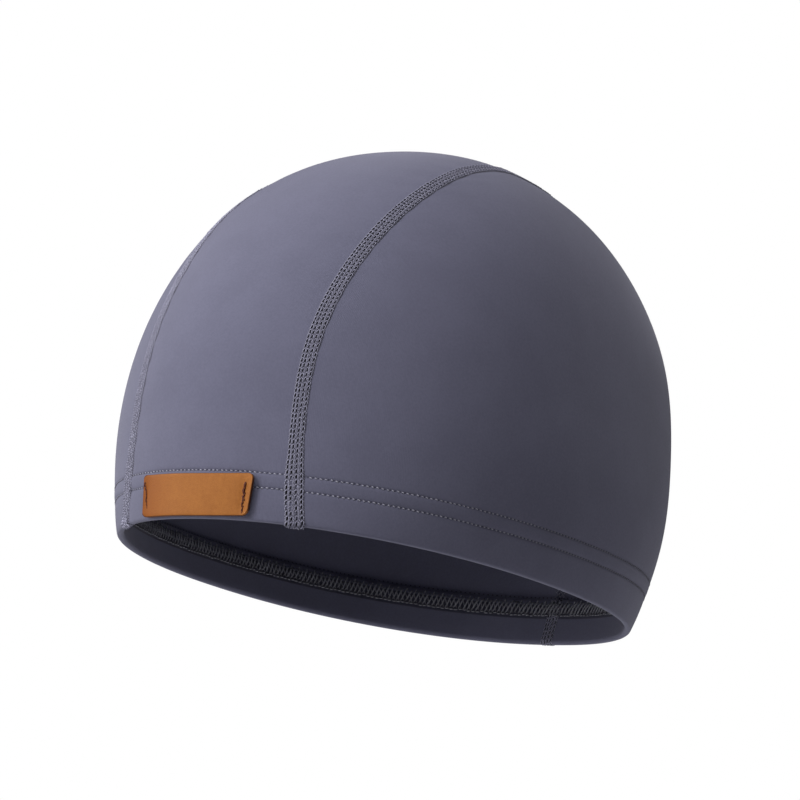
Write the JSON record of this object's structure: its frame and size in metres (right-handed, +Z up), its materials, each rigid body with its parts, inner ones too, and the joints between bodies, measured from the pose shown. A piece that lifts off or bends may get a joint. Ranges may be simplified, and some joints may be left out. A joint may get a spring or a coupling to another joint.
{
  "type": "swim cap",
  "caption": "Stretch knit swim cap in its worn form: two side panels and a centre strip joined by flat thread seams, a turned-in hem and a bare leather label.",
  "frame": {"origin": "middle of the head opening on the line over the ears, in the plane of the folded hem edge", "axes": "+Z up as worn, front of the cap towards -Y, wearer's left towards +X; the hem plane is tipped 12.4 degrees, front edge up"},
  "size_m": [0.155, 0.2058, 0.1577],
  "materials": {
    "knit": "fine matt stretch knit, blue grey",
    "seam_thread": "spun polyester thread, lighter grey",
    "label_leather": "tan leather with darker burnished edges"
  },
  "bodies": {
    "root": {"centre_panel": "knit", "side_panel_left": "knit", "side_panel_right": "knit", "seam_left": "seam_thread", "seam_right": "seam_thread", "label": "label_leather"}
  },
  "joints": []
}
